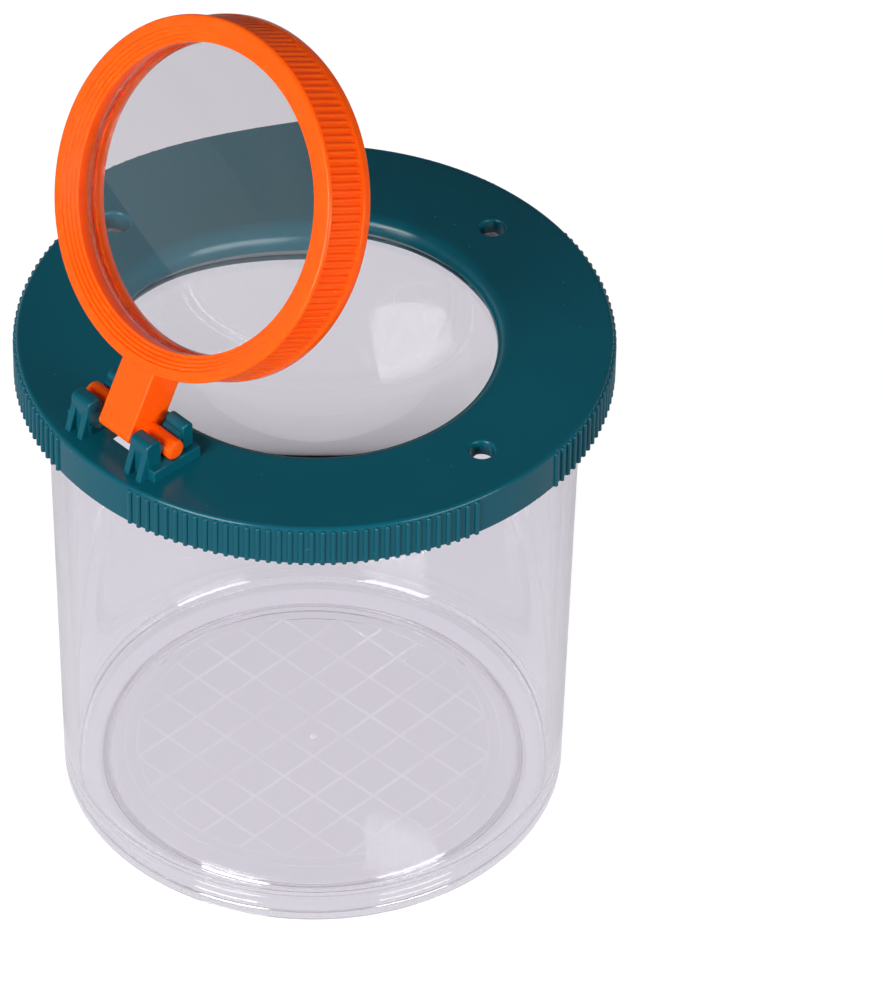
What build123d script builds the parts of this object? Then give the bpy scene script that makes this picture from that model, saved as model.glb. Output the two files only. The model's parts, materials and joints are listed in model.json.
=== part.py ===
"""Bug catcher jar: a clear cup, a push-on lid with a lens in it, and a loupe hinged on the lid.

Millimetres, +Z up. The origin is the middle of the foot, on the table. The hinge is on the -Y side.
"""
import os
from math import asin, cos, degrees, hypot, radians, sin

from build123d import *

os.makedirs("parts", exist_ok=True)

# Jar: a drafted cup with a hollow foot and a flange round the rim
jar_height = 65.1
jar_base_radius = 30.2
jar_neck_radius = 31.5
jar_wall = 1.5
jar_flange = 1.5
jar_flange_height = 2.6
floor_thickness = 1.2
foot_recess = 2.2
foot_ring_width = 5.0
foot_round = 1.5
floor_round = 1.8
rim_round = 0.3

# Lid: a flat plate with a skirt that is pushed over the jar's flange
lid_plate = 2.0
lid_fit = 0.1
skirt_wall = 1.9
skirt_height = 5.35
lid_edge_round = 0.45
opening_radius = 21.4
opening_round = 1.7
vent_radius = 1.5
vent_inset = 6.5
vent_chamfer = 0.25

# Grip ribs on the skirt: four groups, with a plain stretch at the hinge and at each vent
rib_radius = 0.36
rib_pitch_angle = 2.04
ribs_per_group = 35
rib_top_gap = 0.5

# Lid lens: a round magnifier snapped into a collar under the plate
lens_lip = 1.2
lens_edge = 3.2
lens_dome = 1.7
lens_fit = 0.05
collar_wall = 1.5
snap_lip = 0.35
snap_height = 0.7

# Hinge: two cradles moulded on the lid hold the loupe's pin
hinge_inset = 6.8
pin_radius = 1.25
pin_fit = 0.05
pin_overhang = 0.7
pin_end_round = 0.45
cradle_gap = 0.85
cradle_length = 3.2
groove_depth = 0.2
jaw_clearance = 0.4
outer_jaw_thickness = 2.2
inner_jaw_thickness = 1.6
jaw_rise = 2.2
jaw_round = 0.75
nib_rise = 0.75
pad_ledge = 0.9
pad_margin = 0.3
pad_inset = 0.2
fin_thickness = 0.9
fin_height = 3.6
fin_reach = 1.1
slot_width = 4.0
slot_side_gap = 0.5

# Loupe: a fluted ring on an arm, drawn shut over the lid and then opened by the rest angle
open_angle = 62.3
closed_gap = 0.6
loupe_offset = 0.7
loupe_back = 2.0
loupe_front = 5.2
loupe_flute_root = 20.62
loupe_face_round = 0.45
bead_width = 1.7
bead_proud = 0.42
bead_round = 0.4
flute_count = 144
flute_radius = 0.28
flute_front_gap = 0.5
rim_proud = 0.38
face_width = 0.95
step_count = 4
step_depth = 0.21
arm_width = 5.3
arm_front = 3.0
arm_heel = 1.7
arm_round = 0.8

# Loupe lens: snapped in between two lips of the ring
loupe_wall = 2.3
loupe_lens_edge = 2.6
loupe_lens_dome = 0.8
loupe_lens_fit = 0.05
loupe_snap_lip = 0.47
loupe_back_lip = 2.0

# Heights and radii that follow from the sizes above
floor_top = foot_recess + floor_thickness
jar_flange_bottom = jar_height - jar_flange_height
jar_rim_radius = jar_neck_radius + jar_flange
foot_inside = jar_base_radius - foot_ring_width
lid_top = jar_height + lid_plate
skirt_inside = jar_rim_radius + lid_fit
skirt_bottom = lid_top - skirt_height
lid_radius = skirt_inside + skirt_wall
skirt_middle = skirt_inside + skirt_wall / 2
lens_radius = opening_radius + lens_lip
lens_pocket = lens_radius + lens_fit
lens_top = jar_height - lens_fit
lens_bottom = lens_top - lens_edge
snap_top = lens_bottom - lens_fit
collar_bottom = snap_top - snap_height
collar_outside = lens_pocket + collar_wall
hinge_radius = lid_radius - hinge_inset
pin_height = loupe_back + closed_gap
pin_z = lid_top + pin_height
cradle_inside = arm_width / 2 + cradle_gap
pin_half_length = cradle_inside + cradle_length + pin_overhang
pad_height = pin_height - pin_radius - pin_fit + groove_depth
jaw_inside = pin_radius + jaw_clearance
outer_jaw_face = jaw_inside + outer_jaw_thickness
inner_jaw_face = jaw_inside + inner_jaw_thickness
pad_front = outer_jaw_face - pad_inset
pad_back = inner_jaw_face + pad_margin
jaw_height = pin_height + jaw_rise
nib_radius = hypot(jaw_inside, nib_rise) - pin_radius - pin_fit
loupe_reach = hinge_radius + loupe_offset
loupe_pocket = loupe_flute_root - loupe_wall
loupe_lens_radius = loupe_pocket - loupe_lens_fit
loupe_lens_back = loupe_back_lip - loupe_back + loupe_lens_fit
loupe_lens_front = loupe_lens_back + loupe_lens_edge
step_width = (loupe_flute_root - face_width - loupe_pocket + loupe_snap_lip) / step_count


def corner(sketch, x, y):
    """The corner of a flat outline that lies nearest to a point."""
    return sketch.vertices().sort_by_distance((x, y, 0))[0]


def polar(radius, angle):
    """A point of a flat outline, from its radius and its angle in degrees."""
    return (radius * cos(radians(angle)), radius * sin(radians(angle)))


def ribbed_outline(radius, rib, rib_angles):
    """The edges of a disc with half-round ribs standing out from its rim at the given angles."""
    half_rib = degrees(2 * asin(rib / (2 * radius)))
    edges = []
    for angle, following in zip(rib_angles, rib_angles[1:] + [rib_angles[0] + 360]):
        rib_start = polar(radius, angle - half_rib)
        rib_end = polar(radius, angle + half_rib)
        next_start = polar(radius, following - half_rib)
        valley = polar(radius, (angle + following) / 2)
        edges.append(ThreePointArc(rib_start, polar(radius + rib, angle), rib_end))
        edges.append(ThreePointArc(rib_end, valley, next_start))
    return edges


# Jar body
with BuildPart() as jar_body:
    with BuildSketch(Plane.XZ) as cup_wall:
        with BuildLine():
            Polyline(
                (0, foot_recess),
                (foot_inside, foot_recess),
                (foot_inside, 0),
                (jar_base_radius, 0),
                (jar_neck_radius, jar_flange_bottom),
                (jar_rim_radius, jar_flange_bottom),
                (jar_rim_radius, jar_height),
                (jar_neck_radius - jar_wall, jar_height),
                (jar_base_radius - jar_wall, floor_top),
                (0, floor_top),
                close=True,
            )
        make_face()
        fillet(corner(cup_wall, jar_base_radius, 0), foot_round)
        fillet(corner(cup_wall, jar_base_radius - jar_wall, floor_top), floor_round)
        fillet(corner(cup_wall, jar_rim_radius, jar_height), rim_round)
        fillet(corner(cup_wall, jar_neck_radius - jar_wall, jar_height), rim_round)
    revolve(axis=Axis.Z)

# Lid: plate, skirt and lens collar in one turn, then the grip ribs, hinge cradles, vents and slot
rib_span = rib_pitch_angle * (ribs_per_group - 1)
rib_angles = []
for group_angle in (45, 135, 225, 315):
    for rib in range(ribs_per_group):
        rib_angles.append(group_angle - rib_span / 2 + rib * rib_pitch_angle)
skirt_outline = ribbed_outline(lid_radius, rib_radius, rib_angles)
hinge_point = (0, -hinge_radius, lid_top)
cradle_plane = Plane(hinge_point, x_dir=(0, 1, 0), z_dir=(1, 0, 0))
with BuildPart() as lid:
    with BuildSketch(Plane.XZ) as lid_wall:
        with BuildLine():
            Polyline(
                (opening_radius, lid_top),
                (lid_radius, lid_top),
                (lid_radius, lid_top - rib_top_gap),
                (skirt_middle, lid_top - rib_top_gap),
                (skirt_middle, skirt_bottom),
                (skirt_inside, skirt_bottom),
                (skirt_inside, jar_height),
                (collar_outside, jar_height),
                (collar_outside, collar_bottom),
                (lens_radius - snap_lip, collar_bottom),
                (lens_radius - snap_lip, snap_top),
                (lens_pocket, snap_top),
                (lens_pocket, jar_height),
                (opening_radius, jar_height),
                close=True,
            )
        make_face()
        fillet(corner(lid_wall, opening_radius, lid_top), opening_round)
        fillet(corner(lid_wall, lid_radius, lid_top), lid_edge_round)
    revolve(axis=Axis.Z)

    for side in (-1, 1):
        jaw_start = cradle_plane.offset(side * cradle_inside)
        with BuildSketch(jaw_start):
            with Locations(((pad_back - pad_front) / 2, pad_height / 2)):
                Rectangle(pad_front + pad_back, pad_height)
        extrude(amount=side * (cradle_length + pad_ledge))

        with BuildSketch(jaw_start) as jaws:
            with Locations((-(jaw_inside + outer_jaw_face) / 2, jaw_height / 2)):
                Rectangle(outer_jaw_thickness, jaw_height)
            with Locations(((jaw_inside + inner_jaw_face) / 2, jaw_height / 2)):
                Rectangle(inner_jaw_thickness, jaw_height)
            fillet(jaws.vertices().group_by(Axis.Y)[-1], jaw_round)
            for jaw_side in (-1, 1):
                with Locations((jaw_side * jaw_inside, pin_height + nib_rise)):
                    Circle(nib_radius)
        extrude(amount=side * cradle_length)

        for fin_start in (0, cradle_length - fin_thickness):
            with BuildSketch(cradle_plane.offset(side * (cradle_inside + fin_start))):
                with BuildLine():
                    Polyline(
                        (-jaw_inside - outer_jaw_thickness / 2, 0),
                        (-outer_jaw_face - fin_reach, 0),
                        (-outer_jaw_face, fin_height),
                        (-jaw_inside - outer_jaw_thickness / 2, fin_height),
                        close=True,
                    )
                make_face()
            extrude(amount=side * fin_thickness)

    with BuildSketch(cradle_plane):
        with Locations((0, pin_height)):
            Circle(pin_radius + pin_fit)
    extrude(amount=pin_half_length + pad_ledge, both=True, mode=Mode.SUBTRACT)

    with BuildSketch(Plane.XY.offset(lid_top)):
        with Locations((0, -hinge_radius)):
            Rectangle(arm_width + 2 * slot_side_gap, slot_width)
    extrude(amount=-lid_plate, mode=Mode.SUBTRACT)

    with Locations((0, 0, lid_top)):
        with PolarLocations(lid_radius - vent_inset, 3, 0, 180, endpoint=True):
            CounterSinkHole(vent_radius, vent_radius + vent_chamfer, lid_plate)

    with BuildSketch(Plane.XY.offset(skirt_bottom)):
        make_face(skirt_outline)
        Circle(skirt_middle, mode=Mode.SUBTRACT)
    extrude(amount=skirt_height - rib_top_gap)

# Lid lens: two shallow domes on a straight edge
with BuildPart() as lid_lens:
    with BuildSketch(Plane.XZ):
        with BuildLine():
            dome_edge = opening_radius - lens_fit
            Line((0, lens_top + lens_dome), (0, lens_bottom - lens_dome))
            TangentArc((0, lens_bottom - lens_dome), (dome_edge, lens_bottom), tangent=(1, 0))
            Polyline(
                (dome_edge, lens_bottom),
                (lens_radius, lens_bottom),
                (lens_radius, lens_top),
                (dome_edge, lens_top),
            )
            TangentArc((0, lens_top + lens_dome), (dome_edge, lens_top), tangent=(1, 0))
        make_face()
    revolve(axis=Axis.Z)

# Loupe frame: the fluted ring, its arm and the hinge pin are one moulding
pin_point = (0, -hinge_radius, pin_z)
pin_axis = Axis(pin_point, (1, 0, 0))
ring_centre = (0, loupe_reach - hinge_radius, pin_z)
ring_section = Plane(ring_centre, x_dir=(1, 0, 0), z_dir=(0, -1, 0))
ring_axis = Axis(ring_centre, (0, 0, 1))
arm_section = Plane(pin_point, x_dir=(0, 1, 0), z_dir=(1, 0, 0))

bead_front = bead_width - loupe_back
bead_radius = loupe_flute_root + bead_proud
front_rim = loupe_flute_root + rim_proud
front_lip = loupe_pocket - loupe_snap_lip
flute_bore = loupe_flute_root - loupe_wall / 2
flute_angles = [360 * flute / flute_count for flute in range(flute_count)]
flute_outline = ribbed_outline(loupe_flute_root, flute_radius, flute_angles)
steps = []
for step in range(step_count):
    step_radius = loupe_flute_root - face_width - step * step_width
    steps.append((step_radius, loupe_front - step * step_depth))
    steps.append((step_radius, loupe_front - (step + 1) * step_depth))

with BuildPart() as loupe_frame:
    with BuildSketch(ring_section) as ring_wall:
        with BuildLine():
            Polyline(
                (bead_radius, -loupe_back),
                (bead_radius, bead_front - bead_proud),
                (loupe_flute_root, bead_front),
                (flute_bore, bead_front),
                (flute_bore, loupe_front - flute_front_gap),
                (front_rim, loupe_front - flute_front_gap),
                (front_rim, loupe_front),
                *steps,
                (front_lip, loupe_front - step_count * step_depth),
                (front_lip, loupe_lens_front + loupe_lens_fit),
                (loupe_pocket, loupe_lens_front + loupe_lens_fit),
                (loupe_pocket, loupe_lens_back - loupe_lens_fit),
                (front_lip, loupe_lens_back - loupe_lens_fit),
                (front_lip, -loupe_back),
                close=True,
            )
        make_face()
        fillet(corner(ring_wall, bead_radius, -loupe_back), bead_round)
        fillet(corner(ring_wall, front_rim, loupe_front), loupe_face_round)
    revolve(axis=ring_axis)

    with BuildSketch(Plane(ring_centre).offset(bead_front)):
        make_face(flute_outline)
        Circle(flute_bore, mode=Mode.SUBTRACT)
    extrude(amount=loupe_front - flute_front_gap - bead_front)

    with BuildSketch(arm_section) as arm_side:
        arm_end = loupe_reach - loupe_flute_root + loupe_wall / 2
        with BuildLine():
            Polyline(
                (-arm_heel, -loupe_back),
                (arm_end, -loupe_back),
                (arm_end, arm_front),
                (-arm_heel, arm_front),
                close=True,
            )
        make_face()
        fillet(arm_side.vertices().group_by(Axis.X)[0], arm_round)
    extrude(amount=arm_width / 2, both=True)

    with BuildSketch(Plane(pin_point)) as pin_side:
        with Locations((0, pin_radius / 2)):
            Rectangle(2 * pin_half_length, pin_radius)
        fillet(pin_side.vertices().group_by(Axis.Y)[-1], pin_end_round)
    revolve(axis=pin_axis)

# Loupe lens: two shallow domes on a straight edge
with BuildPart() as loupe_lens:
    with BuildSketch(ring_section):
        with BuildLine():
            dome_edge = front_lip - loupe_lens_fit
            Line((0, loupe_lens_front + loupe_lens_dome), (0, loupe_lens_back - loupe_lens_dome))
            TangentArc((0, loupe_lens_back - loupe_lens_dome), (dome_edge, loupe_lens_back), tangent=(1, 0))
            Polyline(
                (dome_edge, loupe_lens_back),
                (loupe_lens_radius, loupe_lens_back),
                (loupe_lens_radius, loupe_lens_front),
                (dome_edge, loupe_lens_front),
            )
            TangentArc((0, loupe_lens_front + loupe_lens_dome), (dome_edge, loupe_lens_front), tangent=(1, 0))
        make_face()
    revolve(axis=ring_axis)

# The loupe stands open, as it is left after a look through the lid alone
pieces = {
    "jar_body": jar_body.part,
    "lid": lid.part,
    "lid_lens": lid_lens.part,
    "loupe_frame": loupe_frame.part.rotate(pin_axis, open_angle),
    "loupe_lens": loupe_lens.part.rotate(pin_axis, open_angle),
}
for name, piece in pieces.items():
    piece.label = name
    export_step(piece, f"parts/{name}.step")
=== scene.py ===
import json
import math

import bmesh
import bpy
from mathutils import Matrix, Vector


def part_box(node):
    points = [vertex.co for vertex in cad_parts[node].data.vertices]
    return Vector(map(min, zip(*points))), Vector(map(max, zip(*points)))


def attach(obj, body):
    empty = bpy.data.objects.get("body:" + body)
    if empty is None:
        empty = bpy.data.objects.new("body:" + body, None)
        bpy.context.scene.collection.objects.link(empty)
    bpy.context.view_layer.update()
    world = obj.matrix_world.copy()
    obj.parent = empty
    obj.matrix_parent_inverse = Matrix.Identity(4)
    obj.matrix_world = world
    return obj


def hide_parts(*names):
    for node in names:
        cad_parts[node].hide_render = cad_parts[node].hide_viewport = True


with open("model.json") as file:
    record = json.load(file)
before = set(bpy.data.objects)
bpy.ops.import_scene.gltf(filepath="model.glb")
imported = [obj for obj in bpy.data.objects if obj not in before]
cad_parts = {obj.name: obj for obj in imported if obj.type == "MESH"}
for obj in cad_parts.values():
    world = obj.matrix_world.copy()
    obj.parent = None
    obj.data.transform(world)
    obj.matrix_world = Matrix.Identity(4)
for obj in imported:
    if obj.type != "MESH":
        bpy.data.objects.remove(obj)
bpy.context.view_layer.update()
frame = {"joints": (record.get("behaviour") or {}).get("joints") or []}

# Jar body
# A drafted cup, injection-moulded in clear polystyrene. It has a hollow foot, a 5 mm grid moulded into
# its floor with the gate's mark in the middle, and a flange under the rim that the lid is pushed over.
# Lengths are in millimetres, and MM turns them into the scene's metres.
MM = 0.001
jar_rim_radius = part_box("jar_body")[1].x / MM
jar_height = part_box("jar_body")[1].z / MM
jar_flange = 1.5
jar_flange_height = 2.6
jar_neck_radius = jar_rim_radius - jar_flange
jar_base_radius = 30.2
jar_wall = 1.5
foot_recess = 2.2
foot_inside = jar_base_radius - 5.0
floor_top = foot_recess + 1.2
floor_round = 1.8
foot_round = 0.9
base_round = 1.5
rim_round = 0.3
flange_round = 0.2
jar_round_steps = 12
jar_segments = 256
gate_radius = 0.45
gate_height = 0.08
grid_pitch = 5.0
grid_lines = 8
grid_radius = 21.4
grid_turn = math.radians(3.2)
ring_radii = (21.4, 22.9)
line_radius = 0.3
line_width = 1.8
line_height = 0.03
second_set_drop = 0.006
ring_drop = 0.014
line_sharp_angle = 10
line_patch_size = 7.0
line_glow = 0.06
gate_painted_glow = 0.24
sliver_width = 0.001
clear_jar_colour = "#FAF9FB"
grid_line_colour = "#FDFCFE"
gate_colour = "#FFFFFF"


def rounded_outline(corners, steps=8):
    """Points of a closed outline through corners (x, y, radius), each corner rounded by its radius."""
    points = []
    for index, (x, y, radius) in enumerate(corners):
        corner = Vector((x, y))
        if radius == 0:
            points.append(corner)
            continue
        before = (Vector(corners[index - 1][:2]) - corner).normalized()
        after = (Vector(corners[(index + 1) % len(corners)][:2]) - corner).normalized()
        half = before.angle(after) / 2
        centre = corner + (before + after).normalized() * radius / math.sin(half)
        start = corner + before * radius / math.tan(half) - centre
        end = corner + after * radius / math.tan(half) - centre
        sweep = start.angle(end)
        for step in range(steps + 1):
            share = step / steps
            leaving = math.sin((1 - share) * sweep) / math.sin(sweep)
            arriving = math.sin(share * sweep) / math.sin(sweep)
            points.append(centre + start * leaving + end * arriving)
    return points


def new_piece(name, mesh):
    """A mesh object of that name, in the scene."""
    piece = bpy.data.objects.new(name, mesh)
    bpy.context.scene.collection.objects.link(piece)
    return piece


def turned(name, outline, segments):
    """A solid turned about Z from a closed outline of radius and height in millimetres."""
    shape = bmesh.new()
    rings = []
    for radius, height in outline:
        if radius == 0:
            continue
        ring = []
        for segment in range(segments):
            angle = 2 * math.pi * segment / segments
            across = radius * math.cos(angle) * MM
            along = radius * math.sin(angle) * MM
            ring.append(shape.verts.new((across, along, height * MM)))
        rings.append(ring)
    pairs = list(zip(rings, rings[1:]))
    if outline[0][0] == 0:
        shape.faces.new(rings[0])
        shape.faces.new(rings[-1])
    else:
        pairs.append((rings[-1], rings[0]))
    for ring, following in pairs:
        for segment in range(segments):
            beside = (segment + 1) % segments
            shape.faces.new([ring[segment], ring[beside], following[beside], following[segment]])
    bmesh.ops.recalc_face_normals(shape, faces=shape.faces)
    mesh = bpy.data.meshes.new(name)
    shape.to_mesh(mesh)
    shape.free()
    return new_piece(name, mesh)


def applied(piece):
    """The piece with its modifiers made part of its mesh."""
    ready = piece.evaluated_get(bpy.context.evaluated_depsgraph_get())
    mesh = bpy.data.meshes.new_from_object(ready)
    piece.modifiers.clear()
    piece.data = mesh
    mesh.name = piece.name
    return piece


def finished(piece, sharp_angle=32):
    """The piece with its modifiers applied and slivers taken out, smooth but for edges over that angle."""
    applied(piece)
    shape = bmesh.new()
    shape.from_mesh(piece.data)
    bmesh.ops.remove_doubles(shape, verts=shape.verts, dist=sliver_width * MM)
    bmesh.ops.dissolve_degenerate(shape, edges=shape.edges, dist=sliver_width * MM)
    shape.to_mesh(piece.data)
    shape.free()
    piece.data.shade_smooth()
    piece.data.set_sharp_from_angle(angle=math.radians(sharp_angle))
    weighted = piece.modifiers.new("even_faces", "WEIGHTED_NORMAL")
    weighted.keep_sharp = True
    return applied(piece)


def add_node(tree, kind, inputs=None, **settings):
    """A node of that kind, with its settings, whose inputs are linked to sockets or set to values."""
    node = tree.nodes.new(kind)
    for name, value in settings.items():
        setattr(node, name, value)
    for name, value in (inputs or {}).items():
        if isinstance(value, bpy.types.NodeSocket):
            tree.links.new(value, node.inputs[name])
        else:
            node.inputs[name].default_value = value
    return node


def linear(colour):
    """An sRGB hex colour as linear red, green, blue and alpha."""
    channels = [int(colour[place:place + 2], 16) / 255 for place in (1, 3, 5)]
    return [c / 12.92 if c <= 0.04045 else ((c + 0.055) / 1.055) ** 2.4 for c in channels] + [1]


def new_material(name):
    """An empty material of that name, with its node tree and its finished shader."""
    material = bpy.data.materials.new(name)
    material.use_nodes = True
    tree = material.node_tree
    tree.nodes.clear()
    shader = add_node(tree, "ShaderNodeBsdfPrincipled")
    add_node(tree, "ShaderNodeOutputMaterial", {"Surface": shader.outputs["BSDF"]})
    return material, tree, shader


def clear_plastic(name, colour, ior, wave_size, wave_depth, roughness, clearness=1.0):
    """A clear plastic whose surface is a little wavy, with the waves' size and depth in millimetres."""
    material, tree, shader = new_material(name)
    place = add_node(tree, "ShaderNodeTexCoord").outputs["Object"]
    waves = add_node(tree, "ShaderNodeTexNoise", {
        "Vector": place, "Scale": 1 / (wave_size * MM), "Detail": 1.0,
    })
    dents = add_node(tree, "ShaderNodeBump", {
        "Height": waves.outputs["Fac"], "Distance": wave_depth * MM, "Strength": 1.0,
    })
    tree.links.new(dents.outputs["Normal"], shader.inputs["Normal"])
    shader.inputs["Base Color"].default_value = linear(colour)
    shader.inputs["Roughness"].default_value = roughness
    shader.inputs["IOR"].default_value = ior
    shader.inputs["Transmission Weight"].default_value = clearness
    return material


# Moulded polystyrene is glass-clear with a faint grey-lilac tint, and its walls are a little wavy.
styrene = clear_plastic(
    "clear_moulded_polystyrene", clear_jar_colour,
    ior=1.57, wave_size=16.0, wave_depth=0.012, roughness=0.0,
)
# The grid lines are the same plastic, a little matt. A faint glow in patches stands for the light that they
# scatter, so they show white here and there and fade between.
styrene_line = clear_plastic(
    "clear_polystyrene_grid_line", grid_line_colour,
    ior=1.57, wave_size=1.0, wave_depth=0.004, roughness=0.1,
)
line_tree = styrene_line.node_tree
line_shader = line_tree.nodes["Principled BSDF"]
line_shader.inputs["Emission Color"].default_value = linear(grid_line_colour)
patches = add_node(line_tree, "ShaderNodeTexNoise", {
    "Vector": add_node(line_tree, "ShaderNodeTexCoord").outputs["Object"],
    "Scale": 1 / (line_patch_size * MM),
    "Detail": 2.0,
})
line_light = add_node(line_tree, "ShaderNodeMapRange", {
    "Value": patches.outputs["Fac"], "From Min": 0.35, "From Max": 0.65, "To Min": 0.0, "To Max": line_glow,
})
line_tree.links.new(line_light.outputs["Result"], line_shader.inputs["Emission Strength"])
# The gate's mark is frosted where the plastic was cut off, and a painted glow lifts it out of its shade,
# so it is a small white dot in the clear floor.
gate_mark = clear_plastic(
    "frosted_polystyrene_gate_mark", gate_colour,
    ior=1.3, wave_size=1.0, wave_depth=0.004, roughness=0.5, clearness=0.4,
)
gate_shader = gate_mark.node_tree.nodes["Principled BSDF"]
# Painted light: the mark glows white, though it is no lamp.
gate_shader.inputs["Emission Color"].default_value = linear(gate_colour)
gate_shader.inputs["Emission Strength"].default_value = gate_painted_glow

jar_outline = rounded_outline([
    (0, foot_recess, 0),
    (foot_inside, foot_recess, foot_round),
    (foot_inside, 0, foot_round),
    (jar_base_radius, 0, base_round),
    (jar_neck_radius, jar_height - jar_flange_height, rim_round),
    (jar_rim_radius, jar_height - jar_flange_height, flange_round),
    (jar_rim_radius, jar_height, rim_round),
    (jar_neck_radius - jar_wall, jar_height, rim_round),
    (jar_base_radius - jar_wall, floor_top, floor_round),
    (0, floor_top, 0),
], jar_round_steps)
jar = turned("jar", jar_outline, jar_segments)
for material in (styrene, styrene_line, gate_mark):
    jar.data.materials.append(material)


def new_tree(name, passed, sizes):
    """A tree that a shape passes through, its input sockets, and the sizes by socket identifier."""
    tree = bpy.data.node_groups.new(name, "GeometryNodeTree")
    tree.interface.new_socket(passed, in_out="INPUT", socket_type="NodeSocketGeometry")
    values = {}
    for socket_name, value in sizes.items():
        socket = tree.interface.new_socket(socket_name, in_out="INPUT", socket_type="NodeSocketFloat")
        values[socket.identifier] = value
    tree.interface.new_socket(passed, in_out="OUTPUT", socket_type="NodeSocketGeometry")
    return tree, add_node(tree, "NodeGroupInput").outputs, values


def run_tree(piece, tree, values):
    """The tree put on the piece, with each of its inputs set by its socket identifier."""
    modifier = piece.modifiers.new(tree.name, "NODES")
    modifier.node_group = tree
    for identifier, value in values.items():
        modifier[identifier] = value


# The grid is a tree of low rounded lines, two square sets and two rings, sunk in the floor and joined to it
# with the gate's mark. The second set and the rings lie a little lower, so that no two faces coincide.
grid, given, grid_sizes = new_tree("floor_grid", "Jar", {
    "Pitch": grid_pitch * MM,
    "Radius": grid_radius * MM,
    "Line Radius": line_radius * MM,
    "Line Height": line_height * MM,
    "Floor": floor_top * MM,
    "Turn": grid_turn,
})
half_span = add_node(grid, "ShaderNodeMath", {
    0: given["Pitch"], 1: -(grid_lines - 1) / 2,
}, operation="MULTIPLY")
line_starts = add_node(grid, "GeometryNodeMeshLine", {
    "Count": grid_lines,
    "Start Location": add_node(grid, "ShaderNodeCombineXYZ", {"X": half_span.outputs[0]}).outputs[0],
    "Offset": add_node(grid, "ShaderNodeCombineXYZ", {"X": given["Pitch"]}).outputs[0],
})
across = add_node(grid, "ShaderNodeSeparateXYZ", {
    0: add_node(grid, "GeometryNodeInputPosition").outputs[0],
})
share = add_node(grid, "ShaderNodeMath", {0: across.outputs["X"], 1: given["Radius"]}, operation="DIVIDE")
square = add_node(grid, "ShaderNodeMath", {0: share.outputs[0], 1: 2.0}, operation="POWER")
rest = add_node(grid, "ShaderNodeMath", {0: 1.0, 1: square.outputs[0]}, operation="SUBTRACT")
reach = add_node(grid, "ShaderNodeMath", {0: rest.outputs[0]}, operation="SQRT")
bar_length = add_node(grid, "ShaderNodeMath", {0: given["Radius"], 1: 2.0}, operation="MULTIPLY")
bar = add_node(grid, "GeometryNodeMeshCylinder", {
    "Vertices": 16, "Radius": given["Line Radius"], "Depth": bar_length.outputs[0],
})
laid_bar = add_node(grid, "GeometryNodeTransform", {
    "Geometry": bar.outputs["Mesh"], "Rotation": (math.pi / 2, 0, 0),
})
bars = add_node(grid, "GeometryNodeInstanceOnPoints", {
    "Points": line_starts.outputs["Mesh"],
    "Instance": laid_bar.outputs["Geometry"],
    "Scale": add_node(grid, "ShaderNodeCombineXYZ", {
        "X": line_width, "Y": reach.outputs[0], "Z": 1.0,
    }).outputs[0],
})
lines = add_node(grid, "GeometryNodeJoinGeometry")
for quarter, drop in ((0, 0), (math.pi / 2, second_set_drop)):
    set_of_lines = add_node(grid, "GeometryNodeTransform", {
        "Geometry": bars.outputs["Instances"],
        "Translation": (0, 0, -drop * MM),
        "Rotation": (0, 0, quarter),
    })
    grid.links.new(set_of_lines.outputs["Geometry"], lines.inputs[0])
round_line = add_node(grid, "GeometryNodeCurvePrimitiveCircle", {
    "Resolution": 16, "Radius": given["Line Radius"],
})
for radius in ring_radii:
    ring_path = add_node(grid, "GeometryNodeCurvePrimitiveCircle", {"Resolution": 192, "Radius": radius * MM})
    ring_line = add_node(grid, "GeometryNodeCurveToMesh", {
        "Curve": ring_path.outputs["Curve"], "Profile Curve": round_line.outputs["Curve"],
    })
    low_ring = add_node(grid, "GeometryNodeTransform", {
        "Geometry": ring_line.outputs["Mesh"], "Translation": (0, 0, -ring_drop * MM),
    })
    grid.links.new(low_ring.outputs["Geometry"], lines.inputs[0])
gate_ball = add_node(grid, "GeometryNodeMeshUVSphere", {
    "Segments": 24, "Rings": 12, "Radius": gate_radius * MM,
})
gate = add_node(grid, "GeometryNodeTransform", {
    "Geometry": gate_ball.outputs["Mesh"],
    "Translation": add_node(grid, "ShaderNodeCombineXYZ", {"Z": given["Floor"]}).outputs[0],
    "Scale": (1, 1, gate_height / gate_radius),
})
sunk = add_node(grid, "ShaderNodeMath", {
    0: given["Line Height"], 1: given["Line Radius"],
}, operation="SUBTRACT")
line_level = add_node(grid, "ShaderNodeMath", {0: given["Floor"], 1: sunk.outputs[0]}, operation="ADD")
placed_lines = add_node(grid, "GeometryNodeTransform", {
    "Geometry": lines.outputs["Geometry"],
    "Translation": add_node(grid, "ShaderNodeCombineXYZ", {"Z": line_level.outputs[0]}).outputs[0],
    "Rotation": add_node(grid, "ShaderNodeCombineXYZ", {"Z": given["Turn"]}).outputs[0],
})
real_lines = add_node(grid, "GeometryNodeRealizeInstances", {"Geometry": placed_lines.outputs["Geometry"]})
painted_lines = add_node(grid, "GeometryNodeSetMaterial", {
    "Geometry": real_lines.outputs["Geometry"], "Material": styrene_line,
})
painted_gate = add_node(grid, "GeometryNodeSetMaterial", {
    "Geometry": gate.outputs["Geometry"], "Material": gate_mark,
})
marks = add_node(grid, "GeometryNodeJoinGeometry", {"Geometry": painted_lines.outputs["Geometry"]})
grid.links.new(painted_gate.outputs["Geometry"], marks.inputs[0])
joined = add_node(grid, "GeometryNodeMeshBoolean", {
    "Self Intersection": True,
}, operation="UNION", solver="EXACT")
grid.links.new(given["Jar"], joined.inputs["Mesh 2"])
grid.links.new(marks.outputs["Geometry"], joined.inputs["Mesh 2"])
add_node(grid, "NodeGroupOutput", {"Jar": joined.outputs["Mesh"]})
run_tree(jar, grid, grid_sizes)
finished(jar, line_sharp_angle)
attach(jar, "jar")
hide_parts("jar_body")

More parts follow.
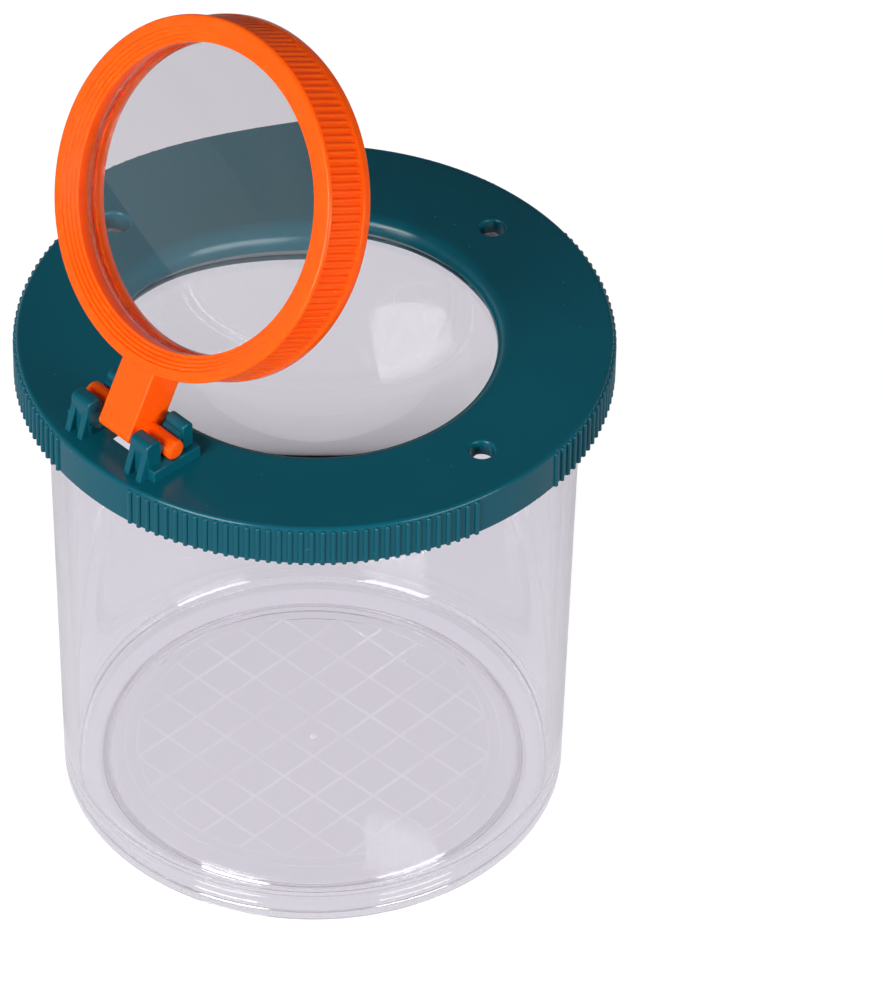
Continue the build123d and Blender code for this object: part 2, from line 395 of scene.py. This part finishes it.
# Lid
# One teal moulding in ABS: a flat plate with a rounded opening, three air vents, a slot under the loupe's
# arm and two cradles for its pin, a skirt with four groups of grip ribs that is pushed over the jar's rim,
# and a collar below that holds the lens.
lid_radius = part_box("lid")[1].x / MM
lid_top = jar_height + 2.0
skirt_bottom = lid_top - 5.35
skirt_inside = jar_rim_radius + 0.1
rib_bottom = skirt_bottom + 0.06
rib_top = lid_top - 0.34
plate_round = 0.45
lid_segments = 360
opening_radius = 21.4
opening_round = 1.7
lens_radius = opening_radius + 1.2
lens_edge = 3.2
lens_fit = 0.05
snap_top = jar_height - lens_edge - 2 * lens_fit
snap_lip = 0.35
snap_height = 0.7
collar_radius = lens_radius + lens_fit + 1.5
vent_radius = 1.5
vent_edge = 0.3
vent_steps = 6
vent_segments = 64
vent_circle = lid_radius - 6.5
cut_over = 1
rib_radius = 0.33
equator_margin = 0.001
rib_pitch = math.radians(2.04)
ribs_per_group = 35
rib_groups = 4
hinge_joint = next(joint for joint in frame["joints"] if joint["name"] == "loupe_hinge")
pin_y = hinge_joint["pos_m"][1] / MM
pin_z = hinge_joint["pos_m"][2] / MM
pin_radius = 1.25
pin_fit = 0.05
pin_height = pin_z - lid_top
arm_width = 5.3
cradle_inside = arm_width / 2 + 0.85
cradle_length = 3.2
pad_ledge = 0.9
jaw_inside = pin_radius + 0.4
outer_jaw_face = jaw_inside + 2.2
inner_jaw_face = jaw_inside + 1.6
jaw_height = pin_height + 2.2
jaw_round = 0.75
nib_rise = 0.75
nib_radius = math.hypot(jaw_inside, nib_rise) - pin_radius - pin_fit
nib_steps = 24
groove_steps = 48
groove_over = 0.1
pad_front = outer_jaw_face - 0.2
pad_back = inner_jaw_face + 0.3
pad_height = pin_height - pin_radius - pin_fit + 0.2
fin_thickness = 0.9
fin_height = 3.6
fin_reach = 1.1
fin_root = 0.75
fin_toe = 0.1
slot_width = 4.0
slot_length = arm_width + 1.0
slot_round = 0.3
sunk_depth = 0.4
edge_round = 0.2
edge_steps = 3
edge_angle = 40
set_in = 0.07
# The specks' core and rim are shares of their spacing.
flow_size = 9
speck_spacing = 2.8
speck_core = 0.022
speck_rim = 0.034
speck_strength = 0.3
grain_size = 0.5
grain_depth = 0.004
gloss_spread = 0.04
teal_colour = "#074F5E"
teal_flow_colour = "#064957"


def prism(name, outline, along, start, end, edge=0.0):
    """A solid with a flat outline in millimetres, run along X or Z from start to end, with rounded edges."""
    shape = bmesh.new()
    ends = []
    for distance in (start, end):
        ring = []
        for x, y in outline:
            spot = (distance, x, y) if along == "X" else (x, y, distance)
            ring.append(shape.verts.new(Vector(spot) * MM))
        ends.append(ring)
        shape.faces.new(ring)
    for index in range(len(outline)):
        shape.faces.new([ends[0][index - 1], ends[0][index], ends[1][index], ends[1][index - 1]])
    bmesh.ops.recalc_face_normals(shape, faces=shape.faces)
    mesh = bpy.data.meshes.new(name)
    shape.to_mesh(mesh)
    shape.free()
    piece = new_piece(name, mesh)
    if edge:
        rounding = piece.modifiers.new("rounded_edges", "BEVEL")
        rounding.width = edge * MM
        rounding.segments = edge_steps
        rounding.angle_limit = math.radians(edge_angle)
    return piece


def circle(x, y, radius, steps):
    """Points of a circle about a point, in millimetres."""
    turns = [2 * math.pi * step / steps for step in range(steps)]
    return [(x + radius * math.cos(turn), y + radius * math.sin(turn)) for turn in turns]


def worked(piece, others, operation):
    """The piece with other pieces joined to it or cut from it, and those pieces used up."""
    for other in others:
        step = piece.modifiers.new(operation.lower(), "BOOLEAN")
        step.operation = operation
        step.solver = "MANIFOLD"
        step.object = other
    applied(piece)
    for other in others:
        bpy.data.objects.remove(other)
    return piece


def moulded_plastic(name, colour, flow_colour, roughness, dust_colour):
    """A plastic coloured through, with flow marks, a fine grain from the mould and specks of dust."""
    material, tree, shader = new_material(name)
    place = add_node(tree, "ShaderNodeTexCoord").outputs["Object"]
    flow = add_node(tree, "ShaderNodeTexNoise", {
        "Vector": place, "Scale": 1 / (flow_size * MM), "Detail": 3.0,
    })
    tone = add_node(tree, "ShaderNodeMix", {
        "Factor": flow.outputs["Fac"], "A": linear(colour), "B": linear(flow_colour),
    }, data_type="RGBA")
    specks = add_node(tree, "ShaderNodeTexVoronoi", {"Vector": place, "Scale": 1 / (speck_spacing * MM)})
    speck = add_node(tree, "ShaderNodeMapRange", {
        "Value": specks.outputs["Distance"],
        "From Min": speck_core, "From Max": speck_rim, "To Min": speck_strength, "To Max": 0.0,
    })
    dusty = add_node(tree, "ShaderNodeMix", {
        "Factor": speck.outputs["Result"], "A": tone.outputs["Result"], "B": linear(dust_colour),
    }, data_type="RGBA")
    tree.links.new(dusty.outputs["Result"], shader.inputs["Base Color"])
    grain = add_node(tree, "ShaderNodeTexNoise", {
        "Vector": place, "Scale": 1 / (grain_size * MM), "Detail": 2.0,
    })
    gloss = add_node(tree, "ShaderNodeMapRange", {
        "Value": grain.outputs["Fac"], "To Min": roughness - gloss_spread, "To Max": roughness + gloss_spread,
    })
    tree.links.new(gloss.outputs["Result"], shader.inputs["Roughness"])
    dents = add_node(tree, "ShaderNodeBump", {
        "Height": grain.outputs["Fac"], "Distance": grain_depth * MM, "Strength": 1.0,
    })
    tree.links.new(dents.outputs["Normal"], shader.inputs["Normal"])
    shader.inputs["IOR"].default_value = 1.5
    shader.inputs["Specular IOR Level"].default_value = 0.22
    return material


# Injection-moulded ABS is coloured through, with a soft gloss, faint flow marks and a few specks of dust. The
# real grain and dust are too fine to show, so both are drawn coarser.
teal_plastic = moulded_plastic(
    "teal_moulded_abs", teal_colour, teal_flow_colour, roughness=0.17, dust_colour="#8FA6AC",
)

lid_outline = rounded_outline([
    (opening_radius, lid_top, opening_round),
    (opening_radius, jar_height, 0),
    (lens_radius + lens_fit, jar_height, 0),
    (lens_radius + lens_fit, snap_top, 0),
    (lens_radius - snap_lip, snap_top, 0),
    (lens_radius - snap_lip, snap_top - snap_height, edge_round),
    (collar_radius, snap_top - snap_height, edge_round),
    (collar_radius, jar_height, 0),
    (skirt_inside, jar_height, 0),
    (skirt_inside, skirt_bottom, edge_round),
    (lid_radius, skirt_bottom, edge_round),
    (lid_radius, lid_top, plate_round),
])
lid = turned("lid_shell", lid_outline, lid_segments)
hinge_adds = []
hinge_cuts = []
for side in (-1, 1):
    inner = side * cradle_inside
    outer = side * (cradle_inside + cradle_length)
    ledge = side * (cradle_inside + cradle_length + pad_ledge)
    pad = [(pin_y + y, lid_top + z) for y, z in (
        (-pad_front, -sunk_depth), (pad_back, -sunk_depth), (pad_back, pad_height), (-pad_front, pad_height),
    )]
    hinge_adds.append(prism("pad", pad, "X", inner, ledge, edge_round))
    for way, jaw_face in ((-1, outer_jaw_face), (1, inner_jaw_face)):
        jaw = rounded_outline([
            (pin_y + way * jaw_inside, lid_top - sunk_depth, 0),
            (pin_y + way * jaw_face, lid_top - sunk_depth, 0),
            (pin_y + way * jaw_face, lid_top + jaw_height, jaw_round),
            (pin_y + way * jaw_inside, lid_top + jaw_height, jaw_round),
        ])
        hinge_adds.append(prism("jaw", jaw, "X", inner + side * set_in, outer - side * set_in, edge_round))
        nib = circle(pin_y + way * jaw_inside, pin_z + nib_rise, nib_radius, nib_steps)
        hinge_adds.append(prism("nib", nib, "X", inner + side * 3 * set_in, outer - side * 3 * set_in))
    for fin_start in (2 * set_in, cradle_length - fin_thickness - 2 * set_in):
        fin = [(pin_y + y, lid_top + z) for y, z in (
            (-outer_jaw_face + fin_root, -sunk_depth),
            (-outer_jaw_face - fin_reach, -sunk_depth),
            (-outer_jaw_face - fin_reach, fin_toe),
            (-outer_jaw_face, fin_height),
            (-outer_jaw_face + fin_root, fin_height),
        )]
        fin_inner = inner + side * fin_start
        hinge_adds.append(prism("fin", fin, "X", fin_inner, fin_inner + side * fin_thickness, edge_round))
groove_half = cradle_inside + cradle_length + pad_ledge + groove_over
groove = circle(pin_y, pin_z, pin_radius + pin_fit, groove_steps)
hinge_cuts.append(prism("groove", groove, "X", -groove_half, groove_half))
slot = rounded_outline([
    (-slot_length / 2, pin_y - slot_width / 2, slot_round),
    (slot_length / 2, pin_y - slot_width / 2, slot_round),
    (slot_length / 2, pin_y + slot_width / 2, slot_round),
    (-slot_length / 2, pin_y + slot_width / 2, slot_round),
])
hinge_cuts.append(prism("slot", slot, "Z", jar_height - cut_over, lid_top + cut_over))
vent_outline = [(0, jar_height - cut_over), (vent_radius, jar_height - cut_over)]
for step in range(vent_steps + 1):
    turn = math.pi / 2 * step / vent_steps
    vent_outline.append((
        vent_radius + vent_edge * (1 - math.cos(turn)),
        lid_top - vent_edge * (1 - math.sin(turn)),
    ))
vent_outline += [(vent_radius + vent_edge, lid_top + cut_over), (0, lid_top + cut_over)]
for turn in (0, math.pi / 2, math.pi):
    vent = turned("vent", vent_outline, vent_segments)
    vent.data.transform(Matrix.Translation(
        (vent_circle * math.cos(turn) * MM, vent_circle * math.sin(turn) * MM, 0)
    ))
    hinge_cuts.append(vent)
worked(lid, hinge_adds, "UNION")
worked(lid, hinge_cuts, "DIFFERENCE")

# The grip ribs are a tree: one half-round rib with a rounded head, set round the skirt in four groups.
grip, given, grip_sizes = new_tree("grip_ribs", "Lid", {
    "Skirt Radius": lid_radius * MM,
    "Rib Radius": rib_radius * MM,
    "Rib Pitch": rib_pitch,
    "Rib Bottom": rib_bottom * MM,
    "Rib Top": rib_top * MM,
})
head_level = add_node(grip, "ShaderNodeMath", {
    0: given["Rib Top"], 1: given["Rib Radius"],
}, operation="SUBTRACT")
stem = add_node(grip, "ShaderNodeMath", {
    0: given["Rib Bottom"], 1: head_level.outputs[0],
}, operation="SUBTRACT")
rib_ball = add_node(grip, "GeometryNodeMeshUVSphere", {
    "Segments": 14, "Rings": 8, "Radius": given["Rib Radius"],
})
ball_place = add_node(grip, "ShaderNodeSeparateXYZ", {
    0: add_node(grip, "GeometryNodeInputPosition").outputs[0],
})
lower_half = add_node(grip, "ShaderNodeMath", {
    0: ball_place.outputs["Z"], 1: -equator_margin * MM,
}, operation="LESS_THAN")
long_rib = add_node(grip, "GeometryNodeSetPosition", {
    "Geometry": rib_ball.outputs["Mesh"],
    "Selection": lower_half.outputs[0],
    "Position": add_node(grip, "ShaderNodeCombineXYZ", {
        "X": ball_place.outputs["X"], "Y": ball_place.outputs["Y"], "Z": stem.outputs[0],
    }).outputs[0],
})
rib = add_node(grip, "GeometryNodeTransform", {
    "Geometry": long_rib.outputs["Geometry"],
    "Translation": add_node(grip, "ShaderNodeCombineXYZ", {
        "X": given["Skirt Radius"], "Z": head_level.outputs[0],
    }).outputs[0],
})
rib_spots = add_node(grip, "GeometryNodeMeshLine", {
    "Count": ribs_per_group * rib_groups, "Offset": (0, 0, 0),
})
number = add_node(grip, "GeometryNodeInputIndex").outputs[0]
group_number = add_node(grip, "ShaderNodeMath", {0: number, 1: float(ribs_per_group)}, operation="DIVIDE")
whole_group = add_node(grip, "ShaderNodeMath", {0: group_number.outputs[0]}, operation="FLOOR")
in_group = add_node(grip, "ShaderNodeMath", {0: number, 1: float(ribs_per_group)}, operation="MODULO")
from_middle = add_node(grip, "ShaderNodeMath", {
    0: in_group.outputs[0], 1: (ribs_per_group - 1) / 2,
}, operation="SUBTRACT")
rib_turn = add_node(grip, "ShaderNodeMath", {
    0: from_middle.outputs[0], 1: given["Rib Pitch"],
}, operation="MULTIPLY")
group_turn = add_node(grip, "ShaderNodeMath", {
    0: whole_group.outputs[0], 1: 2 * math.pi / rib_groups, 2: math.pi / rib_groups,
}, operation="MULTIPLY_ADD")
whole_turn = add_node(grip, "ShaderNodeMath", {
    0: rib_turn.outputs[0], 1: group_turn.outputs[0],
}, operation="ADD")
ribs = add_node(grip, "GeometryNodeInstanceOnPoints", {
    "Points": rib_spots.outputs["Mesh"],
    "Instance": rib.outputs["Geometry"],
    "Rotation": add_node(grip, "ShaderNodeCombineXYZ", {"Z": whole_turn.outputs[0]}).outputs[0],
})
real_ribs = add_node(grip, "GeometryNodeRealizeInstances", {"Geometry": ribs.outputs["Instances"]})
ribbed = add_node(grip, "GeometryNodeMeshBoolean", operation="UNION", solver="MANIFOLD")
grip.links.new(given["Lid"], ribbed.inputs["Mesh 2"])
grip.links.new(real_ribs.outputs["Geometry"], ribbed.inputs["Mesh 2"])
painted = add_node(grip, "GeometryNodeSetMaterial", {
    "Geometry": ribbed.outputs["Mesh"], "Material": teal_plastic,
})
add_node(grip, "NodeGroupOutput", {"Lid": painted.outputs["Geometry"]})
run_tree(lid, grip, grip_sizes)
finished(lid)
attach(lid, "lid")
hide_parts("lid")

# Lid lens
# A round biconvex magnifier, moulded in clear acrylic and polished by the mould. It is pressed up into the
# collar under the lid's opening, past a small lip.
lens_dome = 1.7
lens_top = jar_height - lens_fit
lens_bottom = lens_top - lens_edge
lens_segments = 256
upright = 0.1
acrylic_colour = "#FFFFFF"
frosted_colour = "#A9ABB3"
# Polished acrylic is clear as water and very smooth, so only its reflections and its bending of light show.
acrylic = clear_plastic(
    "clear_polished_acrylic", acrylic_colour,
    ior=1.51, wave_size=25.0, wave_depth=0.004, roughness=0.0,
)
# The lid lens's edge is frosted as it left the mould, and shows grey through the lens's face.
frosted_edge = clear_plastic(
    "frosted_acrylic_edge", frosted_colour,
    ior=1.3, wave_size=1.5, wave_depth=0.01, roughness=0.6, clearness=0.35,
)
# The loupe lens's edge sits tight in its ring, so the ring's orange shows through it with hardly a bend.
clear_edge = clear_plastic(
    "clear_acrylic_seated_edge", acrylic_colour,
    ior=1.05, wave_size=1.5, wave_depth=0.01, roughness=0.3,
)


def lens_piece(name, outline, edge):
    """A lens turned from its outline, with a material of its own on its straight edge."""
    lens = turned(name, outline, lens_segments)
    lens.data.materials.append(acrylic)
    lens.data.materials.append(edge)
    for face in lens.data.polygons:
        if abs(face.normal.z) < upright:
            face.material_index = 1
    return finished(lens)


def lens_outline(radius, dome_edge, bottom, top, dome, steps=28):
    """The closed outline of a lens with two equal domes on a straight edge."""
    curve = (dome_edge ** 2 + dome ** 2) / (2 * dome)
    lower = []
    upper = []
    for step in range(steps + 1):
        across = dome_edge * step / steps
        rise = math.sqrt(curve ** 2 - across ** 2) - curve + dome
        lower.append((across, bottom - rise))
        upper.append((across, top + rise))
    return lower + [(radius, bottom), (radius, top)] + upper[::-1]


lid_lens = lens_piece("lid_magnifier", lens_outline(
    lens_radius,
    opening_radius - lens_fit,
    lens_bottom,
    lens_top,
    lens_dome,
), frosted_edge)
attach(lid_lens, "lid")
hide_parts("lid_lens")

# Loupe frame
# One orange moulding in ABS: a ring with a stepped front and a fluted rim, an arm and a hinge pin that snaps
# into the lid's cradles. It is drawn shut over the lid and then swung open about the pin.
open_angle = -math.radians(hinge_joint["range_deg"][0])
ring_offset = 0.7
ring_back = -2.0
ring_front = 5.2
flute_root = 20.62
ring_segments = 432
ring_round_steps = 5
bead_front = ring_back + 1.7
bead_rise = 0.42
bead_radius = flute_root + bead_rise
bead_round = 0.4
shoulder_round = 0.2
front_rim = flute_root + 0.38
front_round = 0.38
front_edge = 0.1
back_edge = 0.2
flute_top = ring_front - 0.5
flute_radius = 0.28
flute_count = 144
flute_back = bead_front - 0.6
flute_front = flute_top + 0.15
face_width = 0.95
step_count = 4
step_depth = 0.21
step_edge = 0.09
ring_wall = 2.3
loupe_pocket = flute_root - ring_wall
front_lip = loupe_pocket - 0.47
loupe_lens_back = 0.05
loupe_lens_edge = 2.6
loupe_lens_fit = 0.05
arm_front = 3.0
arm_heel = 1.7
arm_round = 0.8
arm_edge = 0.25
pin_half_length = cradle_inside + cradle_length + 0.7
pin_round = 0.45
pin_segments = 64
orange_colour = "#FF5A07"
orange_flow_colour = "#FF5405"
opened = (
    Matrix.Translation((0, pin_y * MM, pin_z * MM))
    @ Matrix.Rotation(open_angle, 4, "X")
    @ Matrix.Translation((0, -pin_y * MM, -pin_z * MM))
)
ring_place = Matrix.Translation((0, ring_offset * MM, pin_z * MM))
# The same ABS in orange holds less pigment, so light goes a few millimetres in and the shadows stay warm.
orange_plastic = moulded_plastic(
    "orange_moulded_abs", orange_colour, orange_flow_colour, roughness=0.2, dust_colour="#FFB080",
)
orange_shader = orange_plastic.node_tree.nodes["Principled BSDF"]
orange_shader.inputs["Specular IOR Level"].default_value = 0.15
orange_shader.inputs["Subsurface Weight"].default_value = 0.7
orange_shader.inputs["Subsurface Radius"].default_value = (1.0, 0.2, 0.04)
orange_shader.inputs["Subsurface Scale"].default_value = 2.6 * MM

step_width = (flute_root - face_width - front_lip) / step_count
ring_corners = [
    (bead_radius, ring_back, bead_round),
    (bead_radius, bead_front - bead_rise, shoulder_round),
    (flute_root, bead_front, 0),
    (flute_root, flute_top, 0),
    (front_rim, flute_top, front_edge),
    (front_rim, ring_front, front_round),
]
for step in range(step_count):
    step_radius = flute_root - face_width - step * step_width
    ring_corners.append((step_radius, ring_front - step * step_depth, step_edge))
    ring_corners.append((step_radius, ring_front - (step + 1) * step_depth, step_edge))
ring_corners += [
    (front_lip, ring_front - step_count * step_depth, step_edge),
    (front_lip, loupe_lens_back + loupe_lens_edge + loupe_lens_fit, front_edge),
    (loupe_pocket, loupe_lens_back + loupe_lens_edge + loupe_lens_fit, 0),
    (loupe_pocket, loupe_lens_back - loupe_lens_fit, 0),
    (front_lip, loupe_lens_back - loupe_lens_fit, front_edge),
    (front_lip, ring_back, back_edge),
]
loupe = turned("loupe_ring", rounded_outline(ring_corners, ring_round_steps), ring_segments)
loupe.data.transform(ring_place)
arm_end = ring_offset - flute_root + ring_wall / 2
arm = rounded_outline([
    (pin_y - arm_heel, pin_z + ring_back, arm_round),
    (arm_end, pin_z + ring_back, 0),
    (arm_end, pin_z + arm_front, 0),
    (pin_y - arm_heel, pin_z + arm_front, arm_round),
])
arm_block = prism("arm", arm, "X", -arm_width / 2, arm_width / 2, arm_edge)
pin = turned("pin", rounded_outline([
    (0, -pin_half_length, 0),
    (pin_radius, -pin_half_length, pin_round),
    (pin_radius, pin_half_length, pin_round),
    (0, pin_half_length, 0),
]), pin_segments)
pin.data.transform(Matrix.Translation((0, pin_y * MM, pin_z * MM)) @ Matrix.Rotation(math.pi / 2, 4, "Y"))
worked(loupe, [arm_block, pin], "UNION")

# The flutes are a tree: one half-round flute set evenly round the ring, between the bead and the face.
fluting, given, fluting_sizes = new_tree("rim_flutes", "Ring", {
    "Root Radius": flute_root * MM,
    "Flute Radius": flute_radius * MM,
    "Back": (pin_z + flute_back) * MM,
    "Front": (pin_z + flute_front) * MM,
    "Offset": ring_offset * MM,
})
flute_ends = {}
for path_end, level in (("Start", "Back"), ("End", "Front")):
    flute_ends[path_end] = add_node(fluting, "ShaderNodeCombineXYZ", {
        "X": given["Root Radius"], "Z": given[level],
    }).outputs[0]
flute_path = add_node(fluting, "GeometryNodeCurvePrimitiveLine", flute_ends)
flute_round = add_node(fluting, "GeometryNodeCurvePrimitiveCircle", {
    "Resolution": 14, "Radius": given["Flute Radius"],
})
flute = add_node(fluting, "GeometryNodeCurveToMesh", {
    "Curve": flute_path.outputs["Curve"], "Profile Curve": flute_round.outputs["Curve"], "Fill Caps": True,
})
flute_spots = add_node(fluting, "GeometryNodeMeshLine", {"Count": flute_count, "Offset": (0, 0, 0)})
number = add_node(fluting, "GeometryNodeInputIndex").outputs[0]
flute_turn = add_node(fluting, "ShaderNodeMath", {
    0: number, 1: 2 * math.pi / flute_count,
}, operation="MULTIPLY")
flutes = add_node(fluting, "GeometryNodeInstanceOnPoints", {
    "Points": flute_spots.outputs["Mesh"],
    "Instance": flute.outputs["Mesh"],
    "Rotation": add_node(fluting, "ShaderNodeCombineXYZ", {"Z": flute_turn.outputs[0]}).outputs[0],
})
real_flutes = add_node(fluting, "GeometryNodeRealizeInstances", {"Geometry": flutes.outputs["Instances"]})
placed_flutes = add_node(fluting, "GeometryNodeTransform", {
    "Geometry": real_flutes.outputs["Geometry"],
    "Translation": add_node(fluting, "ShaderNodeCombineXYZ", {"Y": given["Offset"]}).outputs[0],
})
fluted = add_node(fluting, "GeometryNodeMeshBoolean", operation="UNION", solver="EXACT")
fluting.links.new(given["Ring"], fluted.inputs["Mesh 2"])
fluting.links.new(placed_flutes.outputs["Geometry"], fluted.inputs["Mesh 2"])
painted = add_node(fluting, "GeometryNodeSetMaterial", {
    "Geometry": fluted.outputs["Mesh"], "Material": orange_plastic,
})
add_node(fluting, "NodeGroupOutput", {"Ring": painted.outputs["Geometry"]})
run_tree(loupe, fluting, fluting_sizes)
finished(loupe)
loupe.data.transform(opened)
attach(loupe, "loupe")
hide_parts("loupe_frame")

# Loupe lens
# A second biconvex magnifier of the same clear acrylic, pressed in from the front and held between two lips
# of the ring.
loupe_lens_dome = 0.8
loupe_lens = lens_piece("loupe_magnifier", lens_outline(
    loupe_pocket - loupe_lens_fit,
    front_lip - loupe_lens_fit,
    loupe_lens_back,
    loupe_lens_back + loupe_lens_edge,
    loupe_lens_dome,
), clear_edge)
loupe_lens.data.transform(opened @ ring_place)
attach(loupe_lens, "loupe")
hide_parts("loupe_lens")

# Floor, light and camera
# A white table and a soft studio: two large soft lamps on the camera's side, and a plain pale surround.
# Lengths here are in metres, but for the camera's distance, focal length and sensor.
scene = bpy.context.scene
scene.view_settings.view_transform = "Standard"
floor_half = 3.0
floor_colour = "#6A686C"
floor_white = 0.95
pool_level = 0.66
pool_radius = 0.04
far_level = 0.46
far_radius = 0.13
dark_side = (0.68, 0.73, 0)
dark_level = 0.03
bright_level = 0.85
overhead_level = 0.13
low_sky = 0.45
lamp_aim_height = 0.06
surround_through = "#CCC6CF"
floor_glow_colour = "#FAF7FF"

floor_mesh = bpy.data.meshes.new("table")
floor_corners = [(x * floor_half, y * floor_half, 0) for x, y in ((-1, -1), (1, -1), (1, 1), (-1, 1))]
floor_mesh.from_pydata(floor_corners, [], [(0, 1, 2, 3)])
table = new_piece("table", floor_mesh)
# The table is a matt white that the camera sees evenly lit; through the clear plastic and in its gloss it
# glows a softer white, a painted pool of light that fades away from the jar.
table_white, tree, shader = new_material("white_table")
rays = add_node(tree, "ShaderNodeLightPath").outputs
seen = add_node(tree, "ShaderNodeMath", {
    0: rays["Is Transmission Ray"], 1: rays["Is Glossy Ray"],
}, operation="MAXIMUM")
from_jar = add_node(tree, "ShaderNodeVectorMath", {
    0: add_node(tree, "ShaderNodeTexCoord").outputs["Object"],
}, operation="LENGTH")
# Painted light: a pool of glow round the jar, brightest near it, seen through the plastic and in its gloss.
painted_pool = add_node(tree, "ShaderNodeMapRange", {
    "Value": from_jar.outputs["Value"],
    "From Min": pool_radius, "From Max": far_radius, "To Min": pool_level, "To Max": far_level,
}, interpolation_type="SMOOTHSTEP")
through = add_node(tree, "ShaderNodeMath", {
    0: seen.outputs[0], 1: painted_pool.outputs["Result"],
}, operation="MULTIPLY")
direct = add_node(tree, "ShaderNodeMath", {0: rays["Is Camera Ray"], 1: floor_white}, operation="MULTIPLY")
glow = add_node(tree, "ShaderNodeMath", {0: through.outputs[0], 1: direct.outputs[0]}, operation="MAXIMUM")
shader.inputs["Base Color"].default_value = linear(floor_colour)
shader.inputs["Roughness"].default_value = 1.0
shader.inputs["Specular IOR Level"].default_value = 0.0
glow_colour = add_node(tree, "ShaderNodeMix", {
    "Factor": rays["Is Camera Ray"], "A": linear(floor_glow_colour), "B": (1, 1, 1, 1),
}, data_type="RGBA")
tree.links.new(glow_colour.outputs["Result"], shader.inputs["Emission Color"])
tree.links.new(glow.outputs[0], shader.inputs["Emission Strength"])
table.data.materials.append(table_white)

world = bpy.data.worlds.new("pale_studio")
scene.world = world
world.use_nodes = True
tree = world.node_tree
tree.nodes.clear()
rays = add_node(tree, "ShaderNodeLightPath").outputs
direction = add_node(tree, "ShaderNodeTexCoord").outputs["Generated"]
height = add_node(tree, "ShaderNodeSeparateXYZ", {0: direction}).outputs["Z"]
low = add_node(tree, "ShaderNodeMapRange", {
    "Value": height, "From Min": 0.0, "From Max": low_sky, "To Min": 1.0, "To Max": 0.0,
}, interpolation_type="SMOOTHSTEP")
rightward = add_node(tree, "ShaderNodeVectorMath", {0: direction, 1: dark_side}, operation="DOT_PRODUCT")
side_level = add_node(tree, "ShaderNodeMapRange", {
    "Value": rightward.outputs["Value"],
    "From Min": -1.0, "From Max": 0.5, "To Min": bright_level, "To Max": dark_level,
})
sky = add_node(tree, "ShaderNodeMath", {
    0: low.outputs["Result"], 1: side_level.outputs["Result"], 2: overhead_level,
}, operation="MULTIPLY_ADD")
studio = add_node(tree, "ShaderNodeBackground", {"Color": (1, 1, 1, 1), "Strength": sky.outputs[0]})
through = add_node(tree, "ShaderNodeBackground", {"Color": linear(surround_through), "Strength": 1.0})
white = add_node(tree, "ShaderNodeBackground", {"Color": (1, 1, 1, 1), "Strength": 1.0})
lit = add_node(tree, "ShaderNodeMixShader", {
    0: rays["Is Transmission Ray"], 1: studio.outputs[0], 2: through.outputs[0],
})
shown = add_node(tree, "ShaderNodeMixShader", {
    0: rays["Is Camera Ray"], 1: lit.outputs[0], 2: white.outputs[0],
})
add_node(tree, "ShaderNodeOutputWorld", {"Surface": shown.outputs[0]})


def soft_lamp(name, turn, rise, distance, width, height, power):
    """A flat soft lamp that faces the jar from a compass turn and a rise in degrees, in metres and watts."""
    lamp = bpy.data.lights.new(name, "AREA")
    lamp.shape = "RECTANGLE"
    lamp.size = width
    lamp.size_y = height
    lamp.energy = power
    stand = bpy.data.objects.new(name, lamp)
    aim = Vector((0, 0, lamp_aim_height))
    level = math.cos(math.radians(rise))
    away = Vector((
        math.cos(math.radians(turn)) * level,
        math.sin(math.radians(turn)) * level,
        math.sin(math.radians(rise)),
    ))
    stand.location = aim + away * distance
    stand.rotation_euler = (-away).to_track_quat("-Z", "Y").to_euler()
    scene.collection.objects.link(stand)


soft_lamp("left_softbox", turn=-82, rise=24, distance=1.0, width=0.5, height=0.6, power=14.0)
soft_lamp("right_softbox", turn=5, rise=15, distance=1.0, width=0.6, height=0.4, power=7.5)

view_azimuth = math.radians(47.45)
view_elevation = math.radians(40.09)
view_distance = 1052.75
focal_length = 324
sensor_width = 36
yaw, pitch, roll = (math.radians(turn) for turn in (0.811, 1.07, -0.25))
back = Vector((
    math.sin(view_azimuth) * math.cos(view_elevation),
    -math.cos(view_azimuth) * math.cos(view_elevation),
    math.sin(view_elevation),
))
lens_data = bpy.data.cameras.new("camera")
lens_data.lens = focal_length
lens_data.sensor_width = sensor_width
camera = bpy.data.objects.new("camera", lens_data)
facing = (-back).to_track_quat("-Z", "Y").to_matrix()
for turn, axis in ((yaw, "Y"), (pitch, "X"), (roll, "Z")):
    facing = facing @ Matrix.Rotation(-turn, 3, axis)
stand_place = (Vector((0, 0, lid_top)) + back * view_distance) * MM
camera.matrix_world = Matrix.Translation(stand_place) @ facing.to_4x4()
scene.collection.objects.link(camera)
scene.camera = camera
